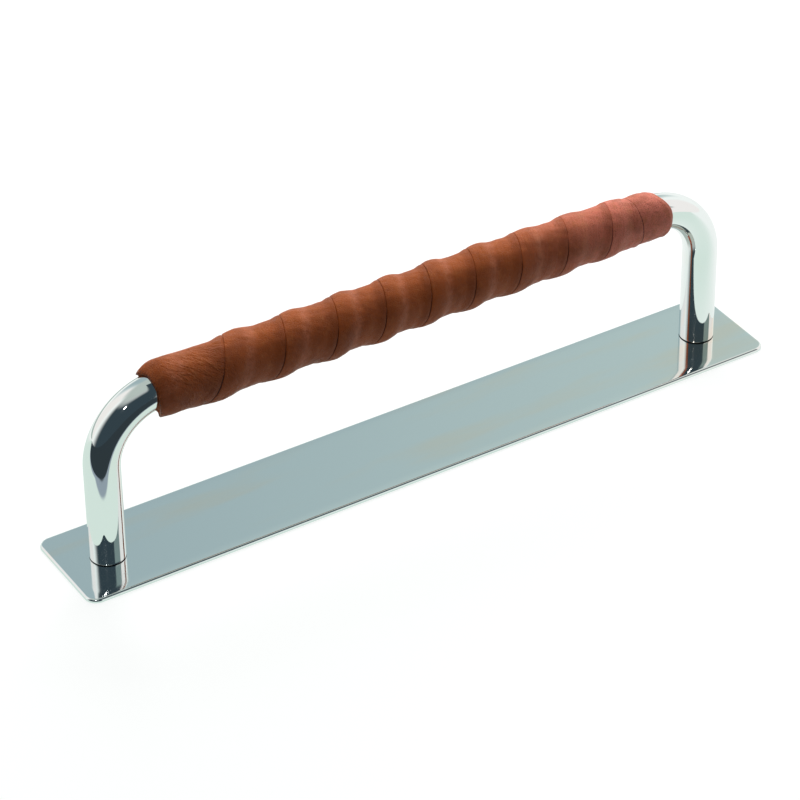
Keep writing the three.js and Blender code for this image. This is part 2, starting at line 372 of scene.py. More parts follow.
def seam_place(turns):
    """Distance along the bar of the seam after a number of turns: the lead times the turns, plus
    an extra that dies away over the first turns, plus a slow sine for winding by hand."""
    settled = FIRST_TURN_EXTRA * (1 - np.exp(-np.maximum(turns, 0) / SETTLING_TURNS))
    drift = HAND_DRIFT * np.sin(2 * np.pi * turns / DRIFT_TURNS)
    return -strap_end + TURN_LEAD * turns + settled + drift


def smooth(t):
    """Rises from 0 to 1 with level ends: 3 t squared minus 2 t cubed, t held between 0 and 1."""
    t = np.clip(t, 0, 1)
    return t * t * (3 - 2 * t)


def ripple(points, wavelength, seed, count=14):
    """Smooth random waves in space: a sum of cosines in random directions, each with a wavelength
    near the given one, scaled to stay mostly between -1 and 1."""
    rng = np.random.default_rng(seed)
    direction = rng.normal(size=(count, 3))
    direction /= np.linalg.norm(direction, axis=1)[:, None]
    number = 2 * np.pi / (wavelength * rng.uniform(0.7, 1.4, count))
    phase = rng.uniform(0, 2 * np.pi, count)
    waves = np.cos(points @ (direction * number[:, None]).T + phase)
    return waves.sum(axis=-1) / np.sqrt(count)


# %% [markdown]
# The section of a turn starts in the seam's crevice, climbs over the rounded edge of the leather,
# rises to a crest where two full layers meet, and falls again where the turn below has been pared
# away. The shares are crowded at the seam, because the crevice is only a few tenths of a
# millimetre wide.

# %% Section of one turn
EDGE_SHARES = np.array([0.0, 0.003, 0.006, 0.010, 0.015, 0.022, 0.032, 0.046])
BODY_SHARES = np.linspace(0.066, 0.958, 34)
FAR_SHARES = np.array([0.975, 0.984, 0.990, 0.994, 0.997])
SHARES = np.concatenate([EDGE_SHARES, BODY_SHARES, FAR_SHARES])
STRAP_SIDES = 168
RISE_END = 0.97
UPPER_CREVICE = 0.020
LOWER_CREVICE = 0.009
print("section of a turn:", len(SHARES), "points, round the bar:", STRAP_SIDES)


def pared(s):
    """How far the paring has gone: 0 up to its start, 1 at the last turn."""
    return np.clip((s - PARING_START) / (band_start - PARING_START), 0, 1)


def turn_height(share, hump):
    """Height above the single layer. From the lip at the seam a quarter sine climbs to the hump
    and a squared cosine falls to nothing where the overlap ends. Before the next seam the turn
    climbs again, because it is squeezed up by the edge that lies on it."""
    rise = SEAM_LIP + (hump - SEAM_LIP) * np.sin(np.pi / 2 * share / CREST_SHARE)
    fall = np.clip((share - CREST_SHARE) / (OVERLAP_SHARE - CREST_SHARE), 0, 1)
    over = np.where(share < CREST_SHARE, rise, hump * np.cos(np.pi / 2 * fall) ** 2)
    return over + SEAM_RISE * smooth((share - RISE_SHARE) / (RISE_END - RISE_SHARE))


def crevice(share):
    """Depth cut away at the seam: full at share 0, gone within the rounded edge on the upper
    side and within a hair on the lower side."""
    upper = 1 - np.sqrt(smooth(share / UPPER_CREVICE))
    lower = 1 - smooth((1 - share) / LOWER_CREVICE)
    return np.maximum(upper, lower)


# %% [markdown]
# Cut by hand, neither end is quite square. The start runs out to a corner behind the top and stands
# off the bar at its underside. The finish is trimmed back over the top, where it is pared to
# nothing. Tables give for some angles round the bar how many millimetres each edge falls short of
# its end plane, with straight cuts between them.

# %% The two ends
START_ANGLES = [-90, -75, -60, -20, 30, 90, 110, 128, 145, 180, 220, 270]
START_SHORT = [2.2, 1.1, 0.5, 0.5, 1.3, 1.3, 0.7, 0.0, 0.6, 1.6, 2.2, 2.2]
FINISH_ANGLES = [-90, 14, 30, 45, 60, 75, 90, 150, 190, 240, 270]
FINISH_SHORT = [0.0, 0.0, 0.25, 0.75, 1.4, 2.0, 2.4, 2.3, 1.6, 0.2, 0.0]
print("the ends fall short by up to", max(START_SHORT), "and", max(FINISH_SHORT), "mm")


def degrees_round(angle):
    """The angle in degrees from -90, underneath, over the front and the top to 270."""
    return (np.degrees(angle) + 90) % 360 - 90


def start_place(angle):
    """Where the strap begins. Only its corner behind the top reaches the end plane."""
    short = np.interp(degrees_round(angle), START_ANGLES, START_SHORT)
    return -strap_end + short * MM


def finish_place(angle):
    """Where the strap ends. The front and the underside reach the end plane."""
    short = np.interp(degrees_round(angle), FINISH_ANGLES, FINISH_SHORT)
    return strap_end - short * MM


def start_thickness(angle):
    """Thickness of the edge at the start: thick underneath, with a corner behind the top."""
    a = degrees_round(angle)
    under = (0.5 - 0.5 * np.sin(angle)) ** 3
    corner = smooth((a - 95) / 30) * (1 - smooth((a - 150) / 60))
    return (0.25 + 1.75 * under + 0.5 * corner) * MM


def finish_thickness(angle):
    """Thickness of the edge at the finish: thick underneath, nothing to speak of on top."""
    under = (0.5 - 0.5 * np.sin(angle)) ** 1.5
    return (0.18 + 1.20 * under) * MM


def sag_at(s):
    """How far the winding hangs: more over the pared last turns."""
    return STRAP_SAG + LATE_SAG * smooth((s - LATE_SAG_START) / LATE_SAG_LENGTH)


# %% [markdown]
# The helical part has a column for each share of each turn. The start is pared down to its cut
# edge, and the last turn slips under the square band.

# %% Helical part
def helix_part():
    """Distance, radius, angle, share of the turn and depth in the seam for the points on the
    helical part, each of shape (columns, sides)."""
    turns_at_band = int(np.ceil((band_start + strap_end) / TURN_LEAD)) + 1
    turn, share = np.meshgrid(np.arange(-1, turns_at_band), SHARES, indexing="ij")
    turn, share = turn.reshape(-1, 1), share.reshape(-1, 1)
    angle = np.linspace(0, 2 * np.pi, STRAP_SIDES + 1)[None, :]
    seam_turn = turn + (np.degrees(angle) - START_TURN_ANGLE) / 360
    start = start_place(angle)
    s = np.clip(seam_place(seam_turn + share), start, band_start)
    uneven = 1 + 0.10 * np.sin(2.3 * seam_turn + 0.6) + 0.06 * np.sin(5.1 * seam_turn + 2.0)
    grown = 0.5 + 0.5 * smooth(seam_turn / FIRST_HUMP_TURNS)
    hump = OVERLAP_HUMP * uneven * grown * (1 - HUMP_LOSS * pared(s))
    share = share + 0 * angle
    deep = crevice(share)
    layer = layer_radius - PARING_DEPTH * pared(s) ** 3
    body = layer + turn_height(share, hump) - SEAM_DEPTH * deep
    edge = bore_radius + start_thickness(angle)
    taper = np.sin(np.pi / 2 * np.clip((s - start) / START_TAPER, 0, 1)) ** 0.8
    radius = edge + (body - edge) * taper
    under_band = 1 - smooth((band_start - s) / TUCK_LENGTH)
    radius = radius + (band_radius - radius) * under_band
    sink = 1 - smooth((band_start - s) / SINK_LENGTH)
    radius = radius - 0.3 * SEAM_DEPTH * sink
    return s, radius, angle + 0 * s, share, np.maximum(deep * (1 - under_band), 0.55 * sink)


# %% [markdown]
# The square last turn has a seam of its own and rolls down to the bar at its finish. The bore
# leads back inside to the start, so that the strap is one closed surface.

# %% Square band and bore
def band_part(angle):
    """Distance, radius and depth in the seam for the rings of the square last turn, each of shape
    (rings, sides): the rounded edge at its seam, the flat of the band, the roll towards the bar,
    and the cut edge. Past its middle the band is squeezed to end at the finish's place."""
    seam_radius = band_radius - 0.4 * SEAM_DEPTH
    rise = np.linspace(0, 1, 9)[1:]
    edge_s = band_start + (0.02 + 0.24 * rise) * MM
    edge_r = seam_radius + (band_radius - seam_radius) * np.sqrt(1 - (1 - rise) ** 2)
    along = np.linspace(0, 1, 42)[1:, None]
    length = finish_place(angle)[None, :] - edge_s[-1]
    s = edge_s[-1] + along * length
    left = (1 - along) * length
    edge = bore_radius + finish_thickness(angle)[None, :]
    crown = BAND_HUMP * np.sin(np.pi * np.clip(along / 0.7, 0, 1))
    ridge = RIDGE_HEIGHT * np.exp(-((left - RIDGE_PLACE) / RIDGE_WIDTH) ** 2)
    roll = np.sqrt(np.clip(1 - (1 - np.clip(left / BAND_ROLL, 0, 1)) ** 2, 0, 1))
    radius = edge + (band_radius + crown - edge) * roll + ridge
    s = np.concatenate([edge_s[:, None] + 0 * angle[None, :], s])
    radius = np.concatenate([edge_r[:, None] + 0 * angle[None, :], radius])
    edge_deep = 0.9 * (1 - rise)[:, None] ** 2 + 0 * angle[None, :]
    deep = np.concatenate([edge_deep, 0 * length * along])
    return s, radius, deep


def bore_part(angle):
    """Distance and radius of the rings inside the strap, from the finish back to the start. They
    crowd at the ends, where the inside flares so that a thick edge stands off the bar as a lip."""
    t = 0.5 + 0.5 * np.cos(np.pi * np.linspace(0, 1, 56)[:, None])
    start, finish = start_place(angle), finish_place(angle)
    s = start * (1 - t) + finish * t
    start_lip = np.maximum(start_thickness(angle) - LIP_THICKNESS, 0)
    finish_lip = np.maximum(finish_thickness(angle) - LIP_THICKNESS, 0)
    start_lip = start_lip * (1 - smooth((s - start) / LIP_LENGTH))
    finish_lip = finish_lip * (1 - smooth((finish - s) / LIP_LENGTH))
    return s, bore_radius + start_lip + finish_lip


# %% The wound strap
def make_strap():
    """Joins the three parts into one grid and adds small dents and the sag. The mesh carries the
    share of the turn, the depth in the seam and the distance along the bar."""
    s, radius, angle, share, deep = helix_part()
    round_once = angle[0]
    band_s, band_r, band_deep = band_part(round_once)
    bore_s, bore_r = bore_part(round_once)
    s = np.concatenate([s, band_s, bore_s])
    radius = np.concatenate([radius, band_r, bore_r])
    rings = len(band_s) + len(bore_s)
    angle = np.concatenate([angle, np.repeat(round_once[None, :], rings, axis=0)])
    share = np.concatenate([share, np.full((rings, len(round_once)), 0.3)])
    deep = np.concatenate([deep, band_deep, 0 * bore_s])
    outer = smooth((radius - bore_radius) / MM)
    calm = smooth((strap_end - np.abs(s)) / CALM_ENDS)
    points = round_bar(s, radius, angle)
    dents = DENT_DEPTH * ripple(points, DENT_SIZE, 3)
    dents = dents + FINE_DENT_DEPTH * ripple(points, FINE_DENT_SIZE, 5)
    points = round_bar(s, radius + outer * (calm * dents - sag_at(s) * np.sin(angle)), angle)
    values = {"turn_share": share, "seam_depth": deep, "along_bar": s / MM}
    return mesh_from_grid(
        "wound_strap", points, close_rows=True, close_columns=False, merge=2e-6, values=values)


wound_strap = make_strap()

# %% [markdown]
# ## Finishes
# A finish is more than a colour. Leather has grain, pores, creases and seams, and polished metal
# has streaks and haze. Both could be painted as pictures, but a picture must be wrapped round the
# shape and shows its pixels up close. Here every finish is worked out from the position on the
# piece, or from the numbers that the strap's mesh carries. A few small functions add the nodes.

# %% Node helpers
def new_material(name):
    """A new material, its node tree and its Principled shader."""
    material = bpy.data.materials.new(name)
    material.use_nodes = True
    tree = material.node_tree
    return material, tree, tree.nodes["Principled BSDF"]


def map_range(tree, value, source, target, interpolation="LINEAR"):
    """A Map Range node, from one pair of numbers to another."""
    node = tree.nodes.new("ShaderNodeMapRange")
    node.interpolation_type = interpolation
    for name, number in zip(("From Min", "From Max", "To Min", "To Max"), (*source, *target)):
        node.inputs[name].default_value = number
    tree.links.new(value, node.inputs["Value"])
    return node.outputs["Result"]


def smooth_share(tree, value, none, full):
    """A share that is 0 where the value is at none, 1 where it is at full, smooth between."""
    target = (0.0, 1.0) if none < full else (1.0, 0.0)
    return map_range(tree, value, sorted((none, full)), target, "SMOOTHSTEP")


def colour_mix(tree, share, under, over):
    """Lays the colour over onto under by the share. Each is a colour or a socket."""
    node = tree.nodes.new("ShaderNodeMix")
    node.data_type = "RGBA"
    tree.links.new(share, node.inputs["Factor"])
    for socket, colour in ((node.inputs[6], under), (node.inputs[7], over)):
        if isinstance(colour, tuple):
            socket.default_value = (*colour, 1)
        else:
            tree.links.new(colour, socket)
    return node.outputs[2]


def noise(tree, vector, scale, detail=4.0, roughness=0.55, distortion=0.0):
    """A Noise texture on the given coordinates. Scale is in waves per metre of them."""
    node = tree.nodes.new("ShaderNodeTexNoise")
    node.inputs["Scale"].default_value = scale
    node.inputs["Detail"].default_value = detail
    node.inputs["Roughness"].default_value = roughness
    node.inputs["Distortion"].default_value = distortion
    tree.links.new(vector, node.inputs["Vector"])
    return node.outputs["Fac"]


def math_node(tree, operation, *values):
    """One arithmetic step. Each value is a number or a socket."""
    node = tree.nodes.new("ShaderNodeMath")
    node.operation = operation
    for socket, value in zip(node.inputs, values):
        if isinstance(value, (int, float)):
            socket.default_value = value
        else:
            tree.links.new(value, socket)
    return node.outputs[0]


def times(tree, *values):
    """The product of numbers or sockets."""
    product = values[0]
    for value in values[1:]:
        product = math_node(tree, "MULTIPLY", product, value)
    return product


def stretched(tree, vector, turn, scale):
    """Coordinates turned by degrees about X, Y, Z and scaled, so that a pattern gets a grain."""
    node = tree.nodes.new("ShaderNodeMapping")
    node.inputs["Rotation"].default_value = tuple(np.radians(turn))
    node.inputs["Scale"].default_value = scale
    tree.links.new(vector, node.inputs["Vector"])
    return node.outputs["Vector"]


def dot(tree, vector, axis):
    """How far a vector reaches along an axis, as a dot product."""
    node = tree.nodes.new("ShaderNodeVectorMath")
    node.operation = "DOT_PRODUCT"
    node.inputs[1].default_value = axis
    tree.links.new(vector, node.inputs[0])
    return node.outputs["Value"]


def grained(tree, vector, across, wave_across, along, wave_along):
    """Coordinates for a noise with a direction: short waves across it and long waves along it,
    with the wavelengths in metres."""
    node = tree.nodes.new("ShaderNodeCombineXYZ")
    across, along = np.array(across), np.array(along)
    third = np.cross(across, along)
    for axis, wave, socket in (
        (across, wave_across, node.inputs[0]),
        (along, wave_along, node.inputs[1]),
        (third, wave_along, node.inputs[2]),
    ):
        tree.links.new(dot(tree, vector, tuple(axis / wave)), socket)
    return node.outputs["Vector"]


def attribute(tree, name):
    """A named number that the mesh carries."""
    node = tree.nodes.new("ShaderNodeAttribute")
    node.attribute_name = name
    return node.outputs["Fac"]


def bump(tree, height, distance, below=None):
    """A Bump node, which tilts the shading as a surface of that height would. Distance is the
    height in metres that the value 1 stands for."""
    node = tree.nodes.new("ShaderNodeBump")
    node.inputs["Strength"].default_value = 1.0
    node.inputs["Distance"].default_value = distance
    tree.links.new(height, node.inputs["Height"])
    if below is not None:
        tree.links.new(below, node.inputs["Normal"])
    return node.outputs["Normal"]


print("node helpers: shares, colour mixes, noise with and without a grain, bumps")

# %% [markdown]
# ### Leather
# Tan leather is never one brown. Its grain is a net of fine pebbles with dark pores between them,
# and its colour drifts where the hide took more or less dye. Light and shade are painted in as
# well. The far turns get a paler, pinker painted sheen, the flank of each turn gets a painted
# highlight, and the grain's specks are painted highlights. Painted shade darkens the hollow before
# each seam and the seams themselves, less so on top, where more light falls. The colour is laid up
# layer by layer, each layer mixed over the one before.

# %% Colour of the leather
LEATHER = (0.435, 0.099, 0.018)
# Painted sheen: the paler, pinker leather of the far turns stands in for the brighter light on
# them.
SHEEN_PALE_LEATHER = (0.83, 0.245, 0.172)
# Painted highlight on the falling flank of each turn.
FLANK_HIGHLIGHT_COLOUR = (0.72, 0.25, 0.14)
LEATHER_DARK = (0.27, 0.062, 0.016)
LEATHER_LIGHT = (0.56, 0.180, 0.060)
# Painted shade in the seams.
SEAM_SHADE = (0.08, 0.022, 0.010)


def layer_on(tree, colour, share, strength, over):
    """Mixes one colour over another by a share that is first scaled down to its strength."""
    share = times(tree, share, strength)
    return colour_mix(tree, share, colour, over)


def leather_colour(tree, place, grain, pore, creases):
    """The layers of colour: a drift from brown to a paler, pinker painted sheen towards the far
    turns, the hide's clouds and mottling, a painted highlight on the flank of each turn, painted
    shade in the hollow before each seam, creases, pores, lighter specks as painted highlights, and
    painted shade in the seams."""
    share = attribute(tree, "turn_share")
    clouds = noise(tree, place, 90, detail=5, roughness=0.6)
    mottle = noise(tree, place, 420, detail=4, roughness=0.6)
    # Painted sheen: towards the far end the colour turns paler and pinker.
    far_turn_sheen = smooth_share(tree, attribute(tree, "along_bar"), 22, 80)
    colour = colour_mix(tree, far_turn_sheen, LEATHER, SHEEN_PALE_LEATHER)
    dark = smooth_share(tree, clouds, 0.55, 0.30)
    colour = layer_on(tree, colour, dark, 0.7, LEATHER_DARK)
    light = smooth_share(tree, mottle, 0.50, 0.80)
    colour = layer_on(tree, colour, light, 0.6, LEATHER_LIGHT)

    # Painted highlight: a paler patch on the falling flank of each turn, broken up by the mottling.
    flank_start = smooth_share(tree, share, 0.26, 0.40)
    flank_end = smooth_share(tree, share, 0.56, 0.42)
    flank_highlight = times(tree, flank_start, flank_end)
    patchy = smooth_share(tree, mottle, 0.30, 0.65)
    flank_highlight = times(tree, flank_highlight, patchy)
    colour = layer_on(tree, colour, flank_highlight, 0.42, FLANK_HIGHLIGHT_COLOUR)
    # Painted shade: the hollow before each seam is darkened.
    hollow_shade = smooth_share(tree, share, 0.74, 0.99)
    colour = layer_on(tree, colour, hollow_shade, 0.5, LEATHER_DARK)

    ridge = smooth_share(tree, creases, 0.50, 0.68)
    colour = layer_on(tree, colour, ridge, 0.36, LEATHER_LIGHT)
    colour = layer_on(tree, colour, pore, 0.42, LEATHER_DARK)
    # Painted highlights: lighter specks on the grain.
    speck_highlights = smooth_share(tree, grain, 0.52, 0.75)
    colour = layer_on(tree, colour, speck_highlights, 0.35, LEATHER_LIGHT)

    # Painted shade in the seams: strongest below the grip's axis, where less light falls, and faint
    # over the top.
    height = dot(tree, place, (0, 0, 1))
    under = smooth_share(tree, height, grip_z + 7 * MM, grip_z + MM)
    crevice_shade = math_node(tree, "MULTIPLY_ADD", under, 0.85, 0.12)
    seam = smooth_share(tree, attribute(tree, "seam_depth"), 0.05, 0.70)
    crevice_shade = times(tree, crevice_shade, seam)
    return colour_mix(tree, crevice_shade, colour, SEAM_SHADE), mottle


print("leather colours:", LEATHER, "to", SHEEN_PALE_LEATHER, "with seams", SEAM_SHADE)

# %% [markdown]
# The relief has four layers, laid from the coarse to the fine: creases where the first turn is
# pulled round the bar, stretch lines beside the seams of the last turns, the soft unevenness of the
# hide, and the pebbled grain with its pores. Displaced geometry could carry the grain, but at
# under two tenths of a millimetre a bump on the shading looks the same and costs nothing.

# %% Relief of the leather
def leather_relief(tree, place, grain, pore, creases):
    """The normal of the leather's shading: creases, stretch lines, unevenness, then grain."""
    along_bar = attribute(tree, "along_bar")
    lines = tree.nodes.new("ShaderNodeCombineXYZ")
    share = times(tree, attribute(tree, "turn_share"), 24)
    tree.links.new(share, lines.inputs[0])
    tree.links.new(times(tree, along_bar, 0.08), lines.inputs[1])
    tree.links.new(dot(tree, place, (0, 0, 120)), lines.inputs[2])
    stretch = noise(tree, lines.outputs["Vector"], 1.0, detail=3)
    late = smooth_share(tree, along_bar, -20, 50)
    stretch = times(tree, stretch, late)
    uneven = noise(tree, place, 480, detail=3)
    pebbles = math_node(tree, "MULTIPLY_ADD", pore, -0.6, grain)
    normal = bump(tree, creases, 0.60 * MM)
    normal = bump(tree, stretch, 0.22 * MM, normal)
    normal = bump(tree, uneven, 0.20 * MM, normal)
    return bump(tree, pebbles, 0.16 * MM, normal)


def make_creases(tree, place):
    """Short waves that run down across the first turn, and fade before its ends."""
    grain = grained(
        tree, place, (0.71, 0.55, 0.43), 1.2 * MM, (0.71, -0.55, -0.43), 4 * MM)
    creases = noise(tree, grain, 1.0, detail=3, distortion=1.0)
    along_bar = attribute(tree, "along_bar")
    first = smooth_share(tree, along_bar, -54, -65)
    creases = times(tree, creases, first)
    last = smooth_share(tree, along_bar, -80, -74)
    return times(tree, creases, last)


def make_leather():
    """The leather's colour, relief and gloss. Its gloss is uneven with the mottling."""
    material, tree, shader = new_material("tan_leather")
    place = tree.nodes.new("ShaderNodeTexCoord").outputs["Object"]
    grain = noise(tree, place, 2200, detail=3, roughness=0.7)
    pebbles = tree.nodes.new("ShaderNodeTexVoronoi")
    pebbles.feature = "DISTANCE_TO_EDGE"
    pebbles.inputs["Scale"].default_value = 1900
    tree.links.new(place, pebbles.inputs["Vector"])
    pore = smooth_share(tree, pebbles.outputs["Distance"], 0.22, 0.0)
    pore = times(tree, pore, smooth_share(tree, grain, 0.35, 0.65))
    creases = make_creases(tree, place)

    colour, mottle = leather_colour(tree, place, grain, pore, creases)
    tree.links.new(colour, shader.inputs["Base Color"])
    roughness = map_range(tree, mottle, (0.30, 0.75), (0.34, 0.52))
    tree.links.new(roughness, shader.inputs["Roughness"])
    shader.inputs["Specular IOR Level"].default_value = 0.24
    shader.inputs["Sheen Weight"].default_value = 0.25
    shader.inputs["Sheen Roughness"].default_value = 0.20
    shader.inputs["Sheen Tint"].default_value = (1.0, 0.45, 0.34, 1)
    tree.links.new(leather_relief(tree, place, grain, pore, creases), shader.inputs["Normal"])
    print(material.name, len(tree.nodes), "nodes")
    return material


tan_leather = make_leather()

# %% [markdown]
# ### Polished metal
# Bar and plate are polished until they mirror, yet no polish is perfect. The mop leaves streaks
# that run along each piece, too fine to see one by one, and hands leave a haze in places. Both are
# noise in Object coordinates, stretched along the streaks. They change the roughness a little and
# tilt the surface by less than a degree, so that reflections waver as they do in real metal. Where
# a foot meets the plate, one dark hairline is painted into the colour: painted shade of the narrow
# gap, together with the polish and dust that stay in the joint.

# %% Polished metal
# Painted shade of the gap where a foot meets the plate, with the polish and dust in it.
JOINT_SHADE_AND_DIRT = (0.045, 0.055, 0.055)
JOINT_FADE = 0.12 * MM


def make_metal(name, colour, tarnish, streaks, rough, gleam, joint):
    """A mirror with streaks. Tarnish is the colour of the warmer patches, streaks scales the
    coordinates, rough is the range of the roughness, and gleam is the height in metres of the
    finest waves. Below the height of the joint the metal is painted dark: painted shade of the gap,
    with the polish and dust in it."""
    material, tree, shader = new_material(name)
    shader.inputs["Metallic"].default_value = 1.0
    place = tree.nodes.new("ShaderNodeTexCoord").outputs["Object"]
    along = stretched(tree, place, (0, 0, 0), streaks)
    patches = stretched(tree, place, (0, 0, 3), (14, 90, 90))
    patches = noise(tree, patches, 1.0, detail=3, roughness=0.5)
    patches = smooth_share(tree, patches, 0.50, 0.74)
    base = colour_mix(tree, patches, colour, tarnish)
    # Painted shade and dirt: below the joint height the metal turns dark, the shade of the gap and
    # the polish and dust in it.
    height = dot(tree, place, (0, 0, 1))
    crevice_shade = smooth_share(tree, height, joint, joint - JOINT_FADE)
    tree.links.new(colour_mix(tree, crevice_shade, base, JOINT_SHADE_AND_DIRT), shader.inputs["Base Color"])
    streak = noise(tree, along, 1.0, detail=4, roughness=0.6)
    haze = noise(tree, place, 45, detail=3)
    level = times(tree, streak, haze)
    spread = map_range(tree, level, (0.12, 0.40), rough)
    tree.links.new(spread, shader.inputs["Roughness"])
    wide = noise(tree, place, 130, detail=2)
    normal = bump(tree, streak, gleam)
    tree.links.new(bump(tree, wide, 4 * gleam, normal), shader.inputs["Normal"])
    print(name, len(tree.nodes), "nodes, roughness", rough)
    return material


bar_metal = make_metal(
    "polished_bar_metal", (0.88, 0.91, 0.90), (0.88, 0.90, 0.88), (90, 90, 90), (0.02, 0.07),
    1e-6, joint=plate_top + 0.36 * MM)
plate_metal = make_metal(
    "polished_plate_metal", (0.85, 0.89, 0.89), (0.92, 0.86, 0.78), (12, 900, 900), (0.05, 0.11),
    1e-6, joint=0.0)

bent_bar.data.materials.append(bar_metal)
polished_plate.data.materials.clear()
polished_plate.data.materials.append(plate_metal)
wound_strap.data.materials.append(tan_leather)

# %% [markdown]
# ## In place of the solids
# Each fine piece now takes the place of its plain solid. It rides on the same body, and the solid
# is hidden but still carries the contact and the weight. Beside each piece the loop prints the
# finish slot of the record that it stands for. The three pieces never move against each other, so
# all ride on the root.

# %% Each piece stands for its solid
for piece, node, slot in (
    (bent_bar, "handle_bar", "bar_metal"),
    (polished_plate, "backplate", "plate_metal"),
    (wound_strap, "leather_strap", "strap_leather"),
):
    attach(piece, "root")
    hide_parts(node)
    print(piece.name, "stands for", node, "and wears", slot)

# %% [markdown]
# ## Floor
# The pull stands on white paper. The camera sees it as white as the background: most of what it
# sends out is its own light, and only a share is lit by the lamps, which keeps the soft shadow.
# Polished metal sees the paper from nearby, where it ends a hand's width in front of the pull.
# Towards the camera it is painted a greener white, the painted shade that falls on it there. Past
# its edge is the dark room. That edge draws the long dark band along the bends. Two meshes, a sheet
# and a dark cloth, would do the same, but the camera would see them too. So one floor answers each
# kind of ray: white for the camera, the studio for mirror rays, and for soft rays the light that
# paper and cloth throw back.

# %% Floor
CAMERA_AZIMUTH = 238.6  # degrees from +X, as seen from the pull
PAPER_END = 88 * MM  # from the origin to where the paper ends, towards the camera
PAPER_SIZE = 3.0
PAPER_BOUNCE = (0.64, 0.64, 0.625)
CLOTH_BOUNCE = (0.13, 0.13, 0.13)
PAPER_LIT = (0.25, 0.25, 0.25)
PAPER_GLOW = (0.98, 1.0, 0.99)
PAPER_WHITE = (0.95, 0.98, 0.965)
# Painted shade: the paper towards the camera, as mirror rays see it.
PAPER_SHADE_GREEN = (0.71, 0.83, 0.77)
PAPER_GREY = (0.42, 0.51, 0.48)
PAPER_EDGE = (0.30, 0.36, 0.42)
CLOTH_DARK = (0.030, 0.042, 0.050)


def make_floor():
    """One flat sheet that the camera sees lit and white. Mirror rays see the regions laid over each
    other here: white, greener in front as painted shade, grey far behind, the paper's edge, the
    cloth."""
    size = PAPER_SIZE
    corners = np.array([
        [[-size, -size, 0], [size, -size, 0]],
        [[-size, size, 0], [size, size, 0]],
    ])
    floor = mesh_from_grid("floor", corners, close_columns=False)
    material, tree, shader = new_material("white_paper")
    shader.inputs["Base Color"].default_value = (*PAPER_LIT, 1)
    shader.inputs["Roughness"].default_value = 1.0
    shader.inputs["Specular IOR Level"].default_value = 0.0
    shader.inputs["Emission Color"].default_value = (*PAPER_GLOW, 1)
    shader.inputs["Emission Strength"].default_value = 0.85
    place = tree.nodes.new("ShaderNodeTexCoord").outputs["Object"]
    azimuth = np.radians(CAMERA_AZIMUTH)
    towards = np.array([np.cos(azimuth), np.sin(azimuth), 0])
    aside = np.array([-np.sin(azimuth), np.cos(azimuth), 0])
    reach = dot(tree, place, tuple(towards))
    # Painted shade: for mirror rays the paper grows greener towards the camera.
    near = smooth_share(tree, reach, -80 * MM, 0.0)
    colour = colour_mix(tree, near, PAPER_WHITE, PAPER_SHADE_GREEN)
    far = smooth_share(tree, reach, -105 * MM, -130 * MM)
    level_part = dot(tree, place, tuple(aside))
    level_part = smooth_share(tree, level_part, 105 * MM, 70 * MM)
    far = times(tree, far, level_part)
    colour = colour_mix(tree, far, colour, PAPER_GREY)
    left_part = dot(tree, place, tuple(1.17 * towards - aside))
    left_part = smooth_share(tree, left_part, 0.0, 60 * MM)
    edge = smooth_share(tree, reach, PAPER_END - 3 * MM, PAPER_END)
    edge = times(tree, edge, left_part)
    colour = colour_mix(tree, edge, colour, PAPER_EDGE)
    past = smooth_share(tree, reach, PAPER_END + 6 * MM, PAPER_END + 8 * MM)
    past = times(tree, past, left_part)
    colour = colour_mix(tree, past, colour, CLOTH_DARK)
    light_path = tree.nodes.new("ShaderNodeLightPath")
    beyond = smooth_share(tree, reach, PAPER_END - 20 * MM, PAPER_END + 20 * MM)
    bounce = colour_mix(tree, beyond, PAPER_BOUNCE, CLOTH_BOUNCE)
    colour = colour_mix(tree, light_path.outputs["Is Glossy Ray"], bounce, colour)
    glow = tree.nodes.new("ShaderNodeEmission")
    tree.links.new(colour, glow.inputs["Color"])
    choose = tree.nodes.new("ShaderNodeMixShader")
    tree.links.new(light_path.outputs["Is Camera Ray"], choose.inputs[0])
    tree.links.new(glow.outputs[0], choose.inputs[1])
    tree.links.new(shader.outputs[0], choose.inputs[2])
    tree.links.new(choose.outputs[0], tree.nodes["Material Output"].inputs["Surface"])
    floor.data.materials.append(material)
    print("paper ends", PAPER_END / MM, "mm in front of the pull")


make_floor()

# %% [markdown]
# ## The room as a world
# A mirror shows its surroundings, so they are built with care: white paper walls to the left and
# right, warmer in places, a grey wall at the back that the plate mirrors, a duller ceiling, the
# dark room around the camera, and a strip of half-dark wall to the right of it. Boxes and cards
# round the pull could give the same picture, but a world needs no geometry: its shader mixes the
# colours by direction. Mirror rays see this room, soft rays get a faint even fill, so that the
# lamps alone shape the leather, and the camera sees white.

# %% World
WALL_WHITE = (0.97, 1.0, 0.985)
WALL_WARM = (0.95, 0.91, 0.895)
BACK_GREY = (0.37, 0.475, 0.50)
BACK_PALE = (0.49, 0.60, 0.59)
CEILING = (0.50, 0.56, 0.53)
SIDE_GREY = (0.22, 0.29, 0.285)
DARK_ROOM = (0.036, 0.056, 0.070)
SOFT_FILL = (0.024, 0.024, 0.028)


